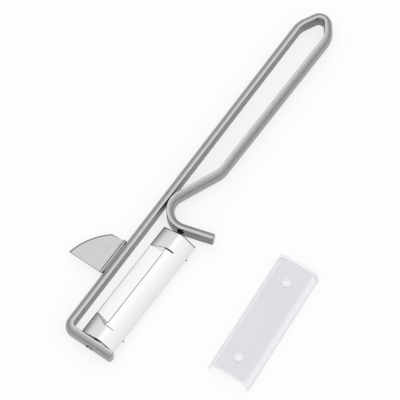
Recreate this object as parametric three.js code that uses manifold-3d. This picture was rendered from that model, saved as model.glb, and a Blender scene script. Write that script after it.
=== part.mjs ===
// Swivel vegetable peeler: a bent half-round bar carries a lanced blade between its foot and its finger hook,
// and a fan-shaped eye remover on its long leg. The blade's clear guard lies beside it, taken off.
// Millimetres, +Z up. The tool lies flat: +Y runs along the long leg to the loop, +X from it to the blade.
import {
  Box3, BoxGeometry, BufferAttribute, BufferGeometry, CurvePath, CylinderGeometry, EllipseCurve,
  ExtrudeGeometry, Group, LatheGeometry, LineCurve, MathUtils, Matrix4, Mesh, MeshStandardMaterial,
  Path, Shape, ShapeUtils, Vector2, Vector3,
} from 'three';
import { mergeVertices } from 'three/addons/utils/BufferGeometryUtils.js';
import Module from 'manifold-3d';

const wasm = await Module();
wasm.setup();

// Half-round bar
const BAR_WIDTH = 7.5; // height of the flat face
const BAR_THICK = 3.6; // flat face to crown
const BAR_LAND = 0.7; // narrow flat along each edge of the flat face
const CROWN_STEPS = 10;
const BEND_STEP = 8; // degrees between two sections of a bend

// Route of the bar, measured on its flat face
const LENGTH = 190; // foot crown to loop crown
const FOOT_REACH = 21.9; // long leg to the foot's cut end
const FOOT_BEND = 2;
const GRIP_GAP = 9.8; // between the legs at the knee
const GRIP_FLARE = 1; // degrees by which the short leg leaves the long one
const LOOP_APEX = 5.6; // long leg to the loop's highest point
const LOOP_APEX_BEND = 2.2;
const LOOP_LONG_LEAN = 28; // degrees, run from the long leg to the apex
const LOOP_SHORT_LEAN = 36.5; // degrees, run from the apex to the short leg
const LOOP_SHOULDER_BEND = 5;
const KNEE_ANGLE = 24; // degrees
const KNEE_BEND = 8;
const HOOK_BEND = 9.9;
const HOOK_RISE = 16; // degrees by which the hook arm tips towards the loop
const HOOK_REACH = 26.6; // long leg to the hook's cut end
const HOOK_LEG_GAP = 0.4; // hook bend to the long leg

// Blade, in its own frame: Y is the pivot axis, X points away from the long leg
const BLADE_LENGTH = 59.5;
const BLADE_FOOT_GAP = 0.8; // between the blade and the foot
const BLADE_HOOK_GAP = 1.3; // between the blade and the hook arm
const BLADE_SHEET = 0.6;
const BLADE_LEAN = 0.92; // degrees between the pivot axis and the long leg
const EDGE_HEIGHT = 2.3; // heel edge over the surface that the tool lies on
const PIVOT_REACH = 11.9; // long leg to the pivot axis at mid-blade
const RIDGE_X = 2.3; // pivot axis to the meeting point of the two flanks
const RIDGE_ROUND = 3.2;
const RIDGE_STEPS = 8;
const GUIDE_WIDTH = 9.7; // ridge to the guide edge
const GUIDE_SLOPE = 24.5; // degrees
const HEEL_WIDTH = 7.1; // ridge to the heel edge
const HEEL_SLOPE = 34; // degrees
const RIM_ROLL = 1.5; // bend of the tabs' rim along the guide edge
const RIM_TURN = 80; // degrees from level to the end of that bend
const RIM_STEPS = 4;
const STRIP_ROLL = 0.9; // bend of the guide strip's own rim
const END_ROLL = 0.8; // bend of the rim over each end of the blade
const FOOT_TAB = 7.1; // whole stretch at the blade's foot end
const FOOT_TAB_SKEW = 3.6; // by which that stretch is longer at the guide edge
const HOOK_TAB = 8.7; // whole stretch at the blade's hook end
const HOOK_TAB_SKEW = 1.6;
const GUIDE_RAMP = 3; // length over which the guide strip drops at the slot
const GUIDE_NOTCH = 0.3; // length over which it drops at its edge
const PEEL_GAP = 1.2; // cutting edge over the guide strip
const SLOT_WIDTH = 0.8; // cutting edge to the guide strip, in plan
const LIP_LAP = 0.7; // lip past the round of the ridge, on the guide side
const LIP_ROOT = 0.2; // lip past that round, on the heel side
const LIP_BEND = 10; // degrees by which the lip is pressed down
const LIP_BEVEL = 1.4; // ground width of the cutting edge
const LIP_EDGE = 0.15; // thickness left at the cutting edge
const SLIT_WIDTH = 0.5;
const CUT_LAP = 0.2; // by which a cut reaches past what it opens
const NUB_RADIUS = 0.5; // stop on the heel edge that catches the guard
const NUB_THICK = 0.45;
const NUB_SINK = 0.1; // its centre inside the heel edge
const NUB_INSET = 7; // blade end to the nub
const EAR_RADIUS = 2.4; // round end of the ear, about the pivot axis
const EAR_THICK = 0.8;
const EAR_SETBACK = 0.15; // behind the rim at the blade's end

// Pivot pins
const PIN_RADIUS = 1.1;
const PIN_SPIGOT_RADIUS = 0.6; // through the ear
const PIN_RIVET_RADIUS = 1.3; // closed end inside the ear
const PIN_RIVET_LENGTH = 0.4;
const PIN_DOME = 0.3;
const PIN_SINK = 0.2; // below the crown of the bar
const PIN_SIDES = 24;
const RUN_GAP = 0.55; // round the pin in its bar hole
const FIT_GAP = 0.3; // between pieces that seat on each other

// Eye remover
const EYE_START = 30.6; // foot crown to the fan's lower edge
const EYE_ROOT = 17.3; // length along the leg
const EYE_LOWER_EDGE = 17.6; // crown of the leg to the tip
const EYE_UPPER_EDGE = 7.7; // crown of the leg to the upper corner
const EYE_BULGE = 2; // rise of the curved cutting edge over its chord
const EYE_ARC_STEPS = 12;
const EYE_SHEET = 1;
const EYE_BEVEL = 0.8; // ground width of the curved edge
const EYE_EDGE = 0.15; // thickness left at that edge
const EYE_BEAD_RADIUS = 1; // rolled bead along the root
const EYE_BEAD_PAST = 1.2; // by which the bead runs past the fan's upper edge
const EYE_TANG_DEPTH = 2;
const EYE_TANG_INSET = 1.5; // shorter than the root at each end

// Blade guard
const GUARD_LENGTH = 59;
const GUARD_SIDE_GAP = 0.75; // round the blade's edges
const GUARD_HEAD_GAP = 1.9; // over the blade's ridge
const GUARD_WALL = 0.9;
const GUARD_DRAFT = 1.5; // by which each wall leans in
const GUARD_SHOULDER = 2.4;
const GUARD_CROWN = 0.6; // rise of the web over its shoulders
const GUARD_BOSS_RADIUS = 2;
const GUARD_BOSS_WALL = 0.7;
const GUARD_BOSS_RISE = 0.6; // over the web
const GUARD_BOSS_PITCH = 39; // between the two bosses
const GUARD_BOSS_SHIFT = 1.3; // their middle from the guard's, towards the foot
const GUARD_REACH = 64.9; // long leg to the guard's middle
const GUARD_RISE = 52.4; // foot crown to the guard's middle
const GUARD_TURN = 3.3; // degrees

const ROUND_SIDES = 32;

const rad = MathUtils.degToRad;
const heading = (degrees) => new Vector2(Math.cos(rad(degrees)), Math.sin(rad(degrees)));
const stepped = (from, direction, distance) => from.clone().addScaledVector(direction, distance);

// Solids and booleans

function toSolid(geometry) {
  const bare = geometry.clone();
  bare.deleteAttribute('normal');
  bare.deleteAttribute('uv');
  const merged = mergeVertices(bare, 1e-5);
  return new wasm.Manifold(new wasm.Mesh({
    numProp: 3,
    vertProperties: Float32Array.from(merged.attributes.position.array),
    triVerts: Uint32Array.from(merged.index.array),
  }));
}

function toGeometry(solid) {
  const mesh = solid.getMesh();
  const geometry = new BufferGeometry();
  geometry.setAttribute('position', new BufferAttribute(Float32Array.from(mesh.vertProperties), 3));
  geometry.setIndex(new BufferAttribute(Uint32Array.from(mesh.triVerts), 1));
  geometry.computeVertexNormals();
  return geometry;
}

const join = (...geometries) => geometries.map(toSolid).reduce((whole, next) => whole.add(next));
const cut = (solid, ...tools) => tools.map(toSolid).reduce((rest, tool) => rest.subtract(tool), solid);

// Triangles over a section's outline, turned the same way round as its points
function capTriangles(section) {
  const normal = new Vector3();
  section.forEach((point, i) => normal.add(point.clone().cross(section[(i + 1) % section.length])));
  normal.normalize();
  const across = new Vector3(normal.y, normal.z, normal.x).cross(normal).normalize();
  const up = normal.clone().cross(across);
  const flat = section.map((point) => new Vector2(point.dot(across), point.dot(up)));
  return ShapeUtils.triangulateShape(flat, []);
}

// Triangles over a band whose outline runs along one side and back along the other
function bandTriangles(section) {
  const pairs = Array.from({ length: section.length / 2 }, (_, i) => [i, section.length - 1 - i]);
  return pairs.slice(1).flatMap(([i, j]) => [[i - 1, i, j], [i - 1, j, j + 1]]);
}

// Skins a row of closed sections that have the same number of points, and caps both ends
function loft(sections, capWith = capTriangles) {
  const count = sections[0].length;
  const last = (sections.length - 1) * count;
  const index = [];
  for (let start = 0; start < last; start += count) {
    for (let i = 0; i < count; i += 1) {
      const a = start + i;
      const b = start + ((i + 1) % count);
      index.push(a, b, b + count, a, b + count, a + count);
    }
  }
  capWith(sections[0]).forEach(([i, j, k]) => index.push(i, k, j));
  capWith(sections.at(-1)).forEach(([i, j, k]) => index.push(last + i, last + j, last + k));
  const geometry = new BufferGeometry();
  const positions = sections.flat().flatMap((point) => point.toArray());
  geometry.setAttribute('position', new BufferAttribute(Float32Array.from(positions), 3));
  geometry.setIndex(index);
  return geometry;
}

// Cylinder along Y
function rod(radius, fromY, toY, sides = ROUND_SIDES) {
  return new CylinderGeometry(radius, radius, toY - fromY, sides).translate(0, (fromY + toY) / 2, 0);
}

// Plane geometry

function meet(pointA, directionA, pointB, directionB) {
  const along = pointB.clone().sub(pointA).cross(directionB) / directionA.cross(directionB);
  return stepped(pointA, directionA, along);
}

// Straight runs with a tangent bend at each inner corner
function bentPath(corners) {
  const path = new CurvePath();
  let last = corners[0].at;
  for (let i = 1; i + 1 < corners.length; i += 1) {
    const { at, bend } = corners[i];
    const back = corners[i - 1].at.clone().sub(at).normalize();
    const ahead = corners[i + 1].at.clone().sub(at).normalize();
    const half = Math.acos(back.dot(ahead)) / 2;
    const centre = stepped(at, back.clone().add(ahead).normalize(), bend / Math.sin(half));
    const start = stepped(at, back, bend / Math.tan(half));
    const end = stepped(at, ahead, bend / Math.tan(half));
    const from = start.clone().sub(centre);
    const to = end.clone().sub(centre);
    path.add(new LineCurve(last, start));
    path.add(new EllipseCurve(centre.x, centre.y, bend, bend, from.angle(), to.angle(), from.cross(to) < 0));
    last = end;
  }
  path.add(new LineCurve(last, corners.at(-1).at));
  return path;
}

// Handle frame

const barMiddle = BAR_WIDTH / 2;
const bladeMiddle = BAR_THICK + BLADE_FOOT_GAP + BLADE_LENGTH / 2;
const hookCentre = new Vector2(
  HOOK_LEG_GAP + HOOK_BEND,
  bladeMiddle + BLADE_LENGTH / 2 + BLADE_HOOK_GAP + HOOK_BEND,
);

// Corners of the flat face in plan, from the foot's cut end to the hook's
function barCorners() {
  const upLongLeg = heading(90);
  const upShortLeg = heading(90 - GRIP_FLARE);
  const footCorner = new Vector2(0, BAR_THICK);
  const oblique = stepped(hookCentre, heading(180 - KNEE_ANGLE), HOOK_BEND);
  const upOblique = heading(90 - KNEE_ANGLE);
  const arm = stepped(hookCentre, heading(HOOK_RISE - 90), HOOK_BEND);
  const alongArm = heading(HOOK_RISE);
  const knee = meet(oblique, upOblique, new Vector2(GRIP_GAP, 0), upLongLeg);
  const apexCentre = new Vector2(LOOP_APEX, LENGTH - BAR_THICK - LOOP_APEX_BEND);
  const longRun = stepped(apexCentre, heading(180 - LOOP_LONG_LEAN), LOOP_APEX_BEND);
  const alongLongRun = heading(90 - LOOP_LONG_LEAN);
  const shortRun = stepped(apexCentre, heading(LOOP_SHORT_LEAN), LOOP_APEX_BEND);
  const alongShortRun = heading(90 + LOOP_SHORT_LEAN);
  return [
    { at: new Vector2(FOOT_REACH, BAR_THICK) },
    { at: footCorner, bend: FOOT_BEND },
    { at: meet(footCorner, upLongLeg, longRun, alongLongRun), bend: LOOP_SHOULDER_BEND },
    { at: meet(longRun, alongLongRun, shortRun, alongShortRun), bend: LOOP_APEX_BEND },
    { at: meet(shortRun, alongShortRun, knee, upShortLeg), bend: LOOP_SHOULDER_BEND },
    { at: knee, bend: KNEE_BEND },
    { at: meet(oblique, upOblique, arm, alongArm), bend: HOOK_BEND },
    { at: meet(arm, alongArm, new Vector2(HOOK_REACH, 0), upLongLeg) },
  ];
}

// Half-round section: x is the depth behind the flat face, y the height
function barSection() {
  const section = [new Vector2(0, BAR_WIDTH), new Vector2(0, 0)];
  for (let i = 0; i <= CROWN_STEPS; i += 1) {
    const turn = heading(180 * (i / CROWN_STEPS) - 90);
    section.push(new Vector2(BAR_LAND + (BAR_THICK - BAR_LAND) * turn.x, barMiddle * (1 + turn.y)));
  }
  return section;
}

// Carries the section along the path, with its crown on the left of the way
function sweepBar(path) {
  const section = barSection();
  const rings = [];
  const addRing = (curve, at) => {
    const point = curve.getPoint(at);
    const tangent = curve.getTangent(at);
    const crownward = new Vector2(-tangent.y, tangent.x);
    rings.push(section.map(({ x: depth, y: height }) => {
      const place = stepped(point, crownward, depth);
      return new Vector3(place.x, place.y, height);
    }));
  };
  for (const curve of path.curves) {
    if (curve.isEllipseCurve) {
      const turn = MathUtils.radToDeg(Math.acos(curve.getTangent(0).dot(curve.getTangent(1))));
      const steps = Math.ceil(turn / BEND_STEP);
      for (let i = 1; i < steps; i += 1) addRing(curve, i / steps);
    } else {
      addRing(curve, 0);
      addRing(curve, 1);
    }
  }
  return loft(rings);
}

// Place of the blade's frame: its Y axis is the pivot axis, at half the height of the bar
const bladePlace = new Matrix4()
  .makeRotationZ(rad(-BLADE_LEAN))
  .setPosition(PIVOT_REACH, bladeMiddle, barMiddle);

const eyeMiddle = EYE_START + EYE_ROOT / 2;
const eyeTangLength = EYE_ROOT - 2 * EYE_TANG_INSET;

function makeHandleFrame() {
  const holeReach = BLADE_LENGTH / 2 + BLADE_HOOK_GAP + 2 * BAR_THICK;
  const pivotHoles = rod(PIN_RADIUS + RUN_GAP, -holeReach, holeReach).applyMatrix4(bladePlace);
  const slitDepth = EYE_TANG_DEPTH + FIT_GAP;
  const eyeSlit = new BoxGeometry(2 * slitDepth, eyeTangLength + 2 * FIT_GAP, EYE_SHEET + 2 * FIT_GAP)
    .translate(-BAR_THICK, eyeMiddle, barMiddle);
  return toGeometry(cut(toSolid(sweepBar(bentPath(barCorners()))), pivotHoles, eyeSlit));
}

// Peeling blade

const edgeZ = EDGE_HEIGHT - barMiddle;
const heelEdge = new Vector2(RIDGE_X + HEEL_WIDTH, edgeZ);
const ridgePeak = new Vector2(RIDGE_X, edgeZ + HEEL_WIDTH * Math.tan(rad(HEEL_SLOPE)));
const ridgeHalfAngle = rad(180 - GUIDE_SLOPE - HEEL_SLOPE) / 2;
const ridgeCentre = stepped(
  ridgePeak,
  heading(GUIDE_SLOPE).add(heading(180 - HEEL_SLOPE)).normalize(),
  -RIDGE_ROUND / Math.sin(ridgeHalfAngle),
);
const ridgeCrownZ = ridgeCentre.y + RIDGE_ROUND;

// Points on a round, from one heading to another, seen from its centre
function arc(centre, radius, fromTurn, toTurn, steps) {
  const turns = Array.from({ length: steps + 1 }, (_, i) => MathUtils.lerp(fromTurn, toTurn, i / steps));
  return turns.map((turn) => stepped(centre, heading(turn), radius));
}

const ridgeRound = arc(ridgeCentre, RIDGE_ROUND, 90 + GUIDE_SLOPE, 90 - HEEL_SLOPE, RIDGE_STEPS);
const guideTop = ridgeRound[0];
const lipStart = stepped(guideTop, heading(GUIDE_SLOPE), -LIP_LAP);
const lipRoot = stepped(ridgeRound.at(-1), heading(-HEEL_SLOPE), LIP_ROOT); // end of the lip's slits
const pressedDown = (point) => point.clone().rotateAround(lipRoot, rad(LIP_BEND));

// Upper lines of the sheet over the ridge and down the heel flank, at the tabs and at the lip
const tabRidge = [lipStart, ...ridgeRound, lipRoot, heelEdge];
const lipRidge = [...[lipStart, ...ridgeRound].map(pressedDown), lipRoot, heelEdge];
const lipTip = lipRidge[0];

// Upper line of the sheet from the guide edge, over its rolled rim, up to a point by the slot
const rimWidth = RIM_ROLL * (Math.sin(rad(RIM_TURN)) - Math.sin(rad(GUIDE_SLOPE)));
const flankLength = (GUIDE_WIDTH - rimWidth) / Math.cos(rad(GUIDE_SLOPE));
const rimTop = stepped(ridgePeak, heading(GUIDE_SLOPE), -flankLength);

function guideLine(top, roll) {
  const slope = MathUtils.radToDeg(top.clone().sub(rimTop).angle());
  const rimCentre = stepped(rimTop, heading(90 + slope), -roll);
  return [...arc(rimCentre, roll, 90 + RIM_TURN, 90 + slope, RIM_STEPS), top];
}

// Whole upper lines, at the tabs and between them, where the guide strip lies below the lip
const slotFrom = lipTip.x - SLOT_WIDTH + CUT_LAP;
const slotTo = lipTip.x + CUT_LAP;
const stripTop = new Vector2(slotFrom + CUT_LAP, lipTip.y - PEEL_GAP);
const tabTop = stepped(lipStart, heading(GUIDE_SLOPE), -SLOT_WIDTH);
const tabLine = [...guideLine(tabTop, RIM_ROLL), ...tabRidge];
const slotLine = [...guideLine(stripTop, STRIP_ROLL), ...lipRidge];

// Line at a depth under an upper line of the sheet
function sunk(line, depthAt) {
  return line.map((point, i) => {
    const along = line[Math.min(i + 1, line.length - 1)].clone().sub(line[Math.max(i - 1, 0)]);
    return stepped(point, along.normalize().rotateAround(new Vector2(), -Math.PI / 2), depthAt(point));
  });
}

const evenSheet = () => BLADE_SHEET;
const groundSheet = (point) => {
  const share = Math.min(1, point.distanceTo(lipTip) / LIP_BEVEL);
  return MathUtils.lerp(LIP_EDGE, BLADE_SHEET, share);
};

const inBlade = (point, y) => new Vector3(point.x, y, point.y);
const bladeEnd = BLADE_LENGTH / 2;
const footTabEnd = FOOT_TAB - bladeEnd;
const hookTabEnd = bladeEnd - HOOK_TAB;

// Closed row across the sheet: over its upper line and back under it
function sheetRow(line, yAt, sheetAt) {
  const skin = (points) => points.map((point, i) => inBlade(point, yAt(i)));
  return [...skin(line), ...skin(sunk(line, sheetAt)).reverse()];
}

// Row that has turned down over the blade's far end, by a heading that runs from level to upright
function endRow(turn) {
  const skin = (bend) => {
    const y = bladeEnd - END_ROLL + bend * turn.y;
    return sunk(tabLine, () => END_ROLL - bend * turn.x).map((point) => inBlade(point, y));
  };
  return [...skin(END_ROLL), ...skin(END_ROLL - BLADE_SHEET).reverse()];
}

// Rows from the slot to the blade's far end, for a tab of a given length
function halfRows(tabLength, tabSkew) {
  const lastOfRim = RIM_STEPS;
  const yAt = (edgeY, topY, ridgeY) => (i) => {
    if (i <= lastOfRim) return edgeY;
    return i === lastOfRim + 1 ? topY : ridgeY;
  };
  const tabEnd = bladeEnd - tabLength;
  const edgeEnd = tabEnd - tabSkew;
  const inTab = tabEnd - SLIT_WIDTH / 4;
  const inLip = tabEnd - (3 * SLIT_WIDTH) / 4;
  return [
    sheetRow(slotLine, yAt(edgeEnd - GUIDE_NOTCH, tabEnd - GUIDE_RAMP, inLip), groundSheet),
    sheetRow(tabLine, yAt(edgeEnd, inTab, inTab), evenSheet),
    ...arc(new Vector2(), 1, 0, 90, RIM_STEPS).map(endRow),
  ];
}

// Sheet with both tabs. Between them the guide strip and the lip are pressed apart, still joined by a step
function makeSheet() {
  const footHalf = halfRows(FOOT_TAB, FOOT_TAB_SKEW);
  const mirrored = footHalf.map((row) => row.map((point) => new Vector3(point.x, -point.y, point.z)));
  return loft([...mirrored.reverse(), ...halfRows(HOOK_TAB, HOOK_TAB_SKEW)], bandTriangles);
}

// Ear: a tongue round the pivot axis, trimmed to the roof's sheet
function makeEar(farFace) {
  const tongue = new Shape();
  tongue.absarc(0, 0, EAR_RADIUS, -Math.PI, 0, false);
  tongue.lineTo(EAR_RADIUS, ridgePeak.y);
  tongue.lineTo(-EAR_RADIUS, ridgePeak.y);
  const roof = new Shape(sunk(tabLine, () => 0.75 * BLADE_SHEET));
  const depth = { depth: EAR_THICK, bevelEnabled: false, curveSegments: 12 };
  const plate = (shape) => new ExtrudeGeometry(shape, depth).rotateX(Math.PI / 2).translate(0, farFace, 0);
  const ear = toSolid(plate(tongue)).intersect(toSolid(plate(roof)));
  return cut(ear, rod(PIN_SPIGOT_RADIUS + FIT_GAP, -BLADE_LENGTH, BLADE_LENGTH));
}

const earFace = bladeEnd - EAR_SETBACK;

function makeBlade() {
  const opening = new Shape();
  opening.moveTo(slotFrom, footTabEnd);
  opening.lineTo(lipRoot.x, footTabEnd);
  opening.lineTo(lipRoot.x, footTabEnd + SLIT_WIDTH);
  opening.lineTo(slotTo, footTabEnd + SLIT_WIDTH);
  opening.lineTo(slotTo, hookTabEnd - SLIT_WIDTH);
  opening.lineTo(lipRoot.x, hookTabEnd - SLIT_WIDTH);
  opening.lineTo(lipRoot.x, hookTabEnd);
  opening.lineTo(slotFrom, hookTabEnd);
  const slot = new ExtrudeGeometry(opening, { depth: 2 * RIDGE_ROUND, bevelEnabled: false });
  slot.translate(0, 0, ridgeCrownZ - RIDGE_ROUND);
  const nubTop = stepped(heelEdge, heading(180 - HEEL_SLOPE), NUB_SINK);
  const nubPlace = stepped(nubTop, heading(90 - HEEL_SLOPE), -BLADE_SHEET / 2);
  const nubs = [-1, 1].map((side) => rod(NUB_RADIUS, -NUB_THICK / 2, NUB_THICK / 2)
    .rotateX(Math.PI / 2)
    .rotateY(rad(HEEL_SLOPE))
    .translate(nubPlace.x, side * (bladeEnd - NUB_INSET), nubPlace.y));
  const sheet = cut(toSolid(makeSheet()), slot);
  const ears = [EAR_THICK - earFace, earFace].map(makeEar);
  return toGeometry([join(...nubs), ...ears].reduce((whole, next) => whole.add(next), sheet));
}

// Pivot pin at the far end of the blade: domed shank in the arm, spigot through the ear, riveted end
function makePin(armGap) {
  const shankStart = earFace + FIT_GAP;
  const rivetStart = earFace - EAR_THICK - FIT_GAP;
  const tip = bladeEnd + armGap + BAR_THICK - PIN_SINK;
  const profile = [
    [0, rivetStart - PIN_RIVET_LENGTH],
    [PIN_RIVET_RADIUS, rivetStart - PIN_RIVET_LENGTH],
    [PIN_RIVET_RADIUS, rivetStart],
    [PIN_SPIGOT_RADIUS, rivetStart],
    [PIN_SPIGOT_RADIUS, shankStart],
    [PIN_RADIUS, shankStart],
    [PIN_RADIUS, tip - PIN_DOME],
    [PIN_RADIUS - PIN_DOME, tip],
    [0, tip],
  ];
  return new LatheGeometry(profile.map(([radius, y]) => new Vector2(radius, y)), PIN_SIDES);
}

// Eye remover: fan with a ground curved edge, a rolled bead along its root and a tang in the bar's slit
function makeEyeRemover() {
  const tip = new Vector2(-BAR_THICK - EYE_LOWER_EDGE, EYE_START);
  const corner = new Vector2(-BAR_THICK - EYE_UPPER_EDGE, EYE_START + EYE_ROOT);
  const chord = corner.clone().sub(tip);
  const arcRadius = (chord.lengthSq() / 4 + EYE_BULGE ** 2) / (2 * EYE_BULGE);
  const inward = chord.clone().normalize().rotateAround(new Vector2(), -Math.PI / 2);
  const centre = stepped(tip.clone().lerp(corner, 0.5), inward, arcRadius - EYE_BULGE);
  const fromAngle = corner.clone().sub(centre).angle();
  const toAngle = tip.clone().sub(centre).angle();
  const beadX = -BAR_THICK - FIT_GAP - EYE_BEAD_RADIUS;
  const outline = (inset, z) => {
    const points = [new Vector2(beadX, tip.y), new Vector2(beadX, corner.y)];
    for (let i = 0; i <= EYE_ARC_STEPS; i += 1) {
      const angle = MathUtils.lerp(fromAngle, toAngle, i / EYE_ARC_STEPS);
      const point = stepped(centre, new Vector2(Math.cos(angle), Math.sin(angle)), arcRadius - inset);
      points.push(new Vector2(point.x, MathUtils.clamp(point.y, tip.y, corner.y)));
    }
    return points.map((p) => new Vector3(p.x, p.y, z));
  };
  const under = barMiddle - EYE_SHEET / 2;
  const fan = loft([outline(0, under), outline(0, under + EYE_EDGE), outline(EYE_BEVEL, under + EYE_SHEET)]);
  const beadEnd = EYE_START + EYE_ROOT + EYE_BEAD_PAST;
  const bead = rod(EYE_BEAD_RADIUS, EYE_START, beadEnd, PIN_SIDES).translate(beadX, 0, barMiddle);
  const tangReach = EYE_TANG_DEPTH + FIT_GAP + EYE_BEAD_RADIUS;
  const tang = new BoxGeometry(tangReach, eyeTangLength, EYE_SHEET)
    .translate(beadX + tangReach / 2, eyeMiddle, barMiddle);
  return toGeometry(join(fan, bead, tang));
}

// Blade guard: a channel with leaning walls, round shoulders and a crowned web, open below and at both ends

const guardHeight = ridgeCrownZ - edgeZ + GUARD_HEAD_GAP + GUARD_WALL - GUARD_CROWN;

// Half of one skin of the channel, from the rim to the middle of the web
function guardSkin(inset) {
  const rim = (GUIDE_WIDTH + HEEL_WIDTH) / 2 + GUARD_SIDE_GAP + GUARD_WALL - inset;
  const shoulder = GUARD_SHOULDER - inset;
  const web = guardHeight - inset;
  const skin = new Path();
  skin.moveTo(rim, 0);
  skin.lineTo(rim - GUARD_DRAFT + shoulder / 4, web - shoulder);
  skin.quadraticCurveTo(rim - GUARD_DRAFT, web, rim - GUARD_DRAFT - shoulder, web);
  skin.quadraticCurveTo(rim / 2, web + GUARD_CROWN, 0, web + GUARD_CROWN);
  return skin.getPoints(5);
}

function makeGuard() {
  const outer = guardSkin(0);
  const inner = guardSkin(GUARD_WALL);
  const flip = (points) => points.map((p) => new Vector2(-p.x, p.y)).reverse().slice(1);
  const channel = new Shape([...outer, ...flip(outer), ...[...inner, ...flip(inner)].reverse()]);
  const body = new ExtrudeGeometry(channel, { depth: GUARD_LENGTH, bevelEnabled: false })
    .rotateX(Math.PI / 2)
    .translate(0, GUARD_LENGTH / 2, 0);
  const webTop = guardHeight + GUARD_CROWN;
  const upright = (radius, fromZ, toZ, y) => rod(radius, fromZ, toZ).rotateX(Math.PI / 2).translate(0, y, 0);
  const places = [-1, 1].map((side) => side * (GUARD_BOSS_PITCH / 2) - GUARD_BOSS_SHIFT);
  const bossTop = webTop + GUARD_BOSS_RISE;
  const bossBore = GUARD_BOSS_RADIUS - GUARD_BOSS_WALL;
  const bosses = places.map((y) => upright(GUARD_BOSS_RADIUS, webTop - GUARD_WALL / 2, bossTop, y));
  const wells = places.map((y) => upright(bossBore, webTop - GUARD_WALL / 4, bossTop + GUARD_BOSS_RISE, y));
  return toGeometry(cut(join(body, ...bosses), ...wells));
}

// Assembly

const aluminium = { color: '#a6a7a9', roughness: 0.45, metalness: 1 };
const stainless = { color: '#d9dadc', roughness: 0.2, metalness: 1 };
const eyeSteel = { color: '#c3c4c5', roughness: 0.35, metalness: 1 };
const pinSteel = { color: '#cfd0d2', roughness: 0.3, metalness: 1 };
const clearPlastic = { color: '#e4e5ea', roughness: 0.15, metalness: 0, transparent: true, opacity: 0.5 };

function piece(name, geometry, finish) {
  const mesh = new Mesh(geometry, new MeshStandardMaterial(finish));
  mesh.name = name;
  return mesh;
}

const blade = new Group();
const lowerPin = piece('lower_pivot_pin', makePin(BLADE_FOOT_GAP), pinSteel);
lowerPin.rotation.z = Math.PI;
blade.add(piece('peeling_blade', makeBlade(), stainless), lowerPin);
blade.add(piece('upper_pivot_pin', makePin(BLADE_HOOK_GAP), pinSteel));
blade.applyMatrix4(bladePlace);

const guard = piece('blade_guard', makeGuard(), clearPlastic);
guard.position.set(GUARD_REACH, GUARD_RISE, 0);
guard.rotation.z = rad(GUARD_TURN);

const peeler = new Group();
peeler.add(piece('handle_frame', makeHandleFrame(), aluminium));
peeler.add(piece('eye_remover', makeEyeRemover(), eyeSteel));
peeler.add(blade, guard);

// The origin is below the middle of everything, on the surface that it lies on
const box = new Box3().setFromObject(peeler, true);
const middle = box.getCenter(new Vector3());
peeler.position.set(-middle.x, -middle.y, -box.min.z);

export default peeler;
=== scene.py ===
# %% [markdown]
# # A swivel vegetable peeler, from bare solids to a studio picture
#
# The CAD model gives every piece its place and its size. In this lesson each piece is made again with the
# round edges, fine surfaces and finishes of the real tool, and is then lit and photographed like a catalogue
# picture. The tool is a bent half-round bar, a blade that swivels on two pins, a small fan-shaped blade for
# cutting out eyes, and a clear guard that lies beside it.

# %% Load the frame
import math

import bmesh
import bpy
from mathutils import Matrix, Vector


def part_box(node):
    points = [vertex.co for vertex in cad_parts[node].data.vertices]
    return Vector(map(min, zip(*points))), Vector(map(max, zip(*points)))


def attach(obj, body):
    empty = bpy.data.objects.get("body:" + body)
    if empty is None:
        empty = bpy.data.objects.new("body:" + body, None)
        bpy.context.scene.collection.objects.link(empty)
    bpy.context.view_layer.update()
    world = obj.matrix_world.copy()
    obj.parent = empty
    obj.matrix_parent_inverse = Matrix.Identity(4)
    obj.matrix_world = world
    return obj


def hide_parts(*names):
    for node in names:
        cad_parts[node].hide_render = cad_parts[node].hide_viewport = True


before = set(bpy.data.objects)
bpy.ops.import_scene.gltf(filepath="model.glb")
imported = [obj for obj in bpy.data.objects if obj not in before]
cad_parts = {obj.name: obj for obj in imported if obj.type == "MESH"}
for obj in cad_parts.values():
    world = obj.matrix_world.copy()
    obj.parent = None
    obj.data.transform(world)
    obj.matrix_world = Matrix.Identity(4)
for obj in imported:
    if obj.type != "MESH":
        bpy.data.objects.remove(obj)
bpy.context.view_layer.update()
scene = bpy.context.scene
MM = 0.001  # lengths below are in millimetres, the scene is in metres

# %% [markdown]
# ## Shared helpers
#
# Most of the tool is made by skinning: a row of points is drawn across a piece, the row is repeated along
# it, and quads are stretched between neighbouring rows. Bars, sheets, pins and mouldings all come from this
# one idea. Curves with bevels, or modelling by hand, could give many of these shapes as well. Rows of points
# are used because every size then stays a number that can be read and changed here.

# %% Points and skins
def heading(degrees):
    """Unit vector in a plane, counted anticlockwise from the first axis."""
    return Vector((math.cos(math.radians(degrees)), math.sin(math.radians(degrees))))


def arc(centre, radius, start, end, steps):
    """Points on a round, from one heading to another, seen from its centre."""
    turns = [start + (end - start) * i / steps for i in range(steps + 1)]
    return [centre + radius * heading(turn) for turn in turns]


def bow(start, pull, end, steps):
    """Points on a curve that leaves one point and reaches another, drawn towards a third."""
    shares = [i / steps for i in range(steps + 1)]
    return [start * (1 - t) ** 2 + pull * (2 * t * (1 - t)) + end * t ** 2 for t in shares]


def skin(shape, rows, closed=False, capped=False):
    """Quads between neighbouring rows of points, which are rings if closed. Gives points and quads by row."""
    grid = [[shape.verts.new(point) for point in row] for row in rows]
    quads = []
    for low, high in zip(grid, grid[1:]):
        pairs = list(zip(low, high))
        if closed:
            pairs.append(pairs[0])
        quads.append([shape.faces.new((a, b, c, d)) for (a, d), (b, c) in zip(pairs, pairs[1:])])
    if capped:
        shape.faces.new(list(reversed(grid[0])))
        shape.faces.new(grid[-1])
    return grid, quads


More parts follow.
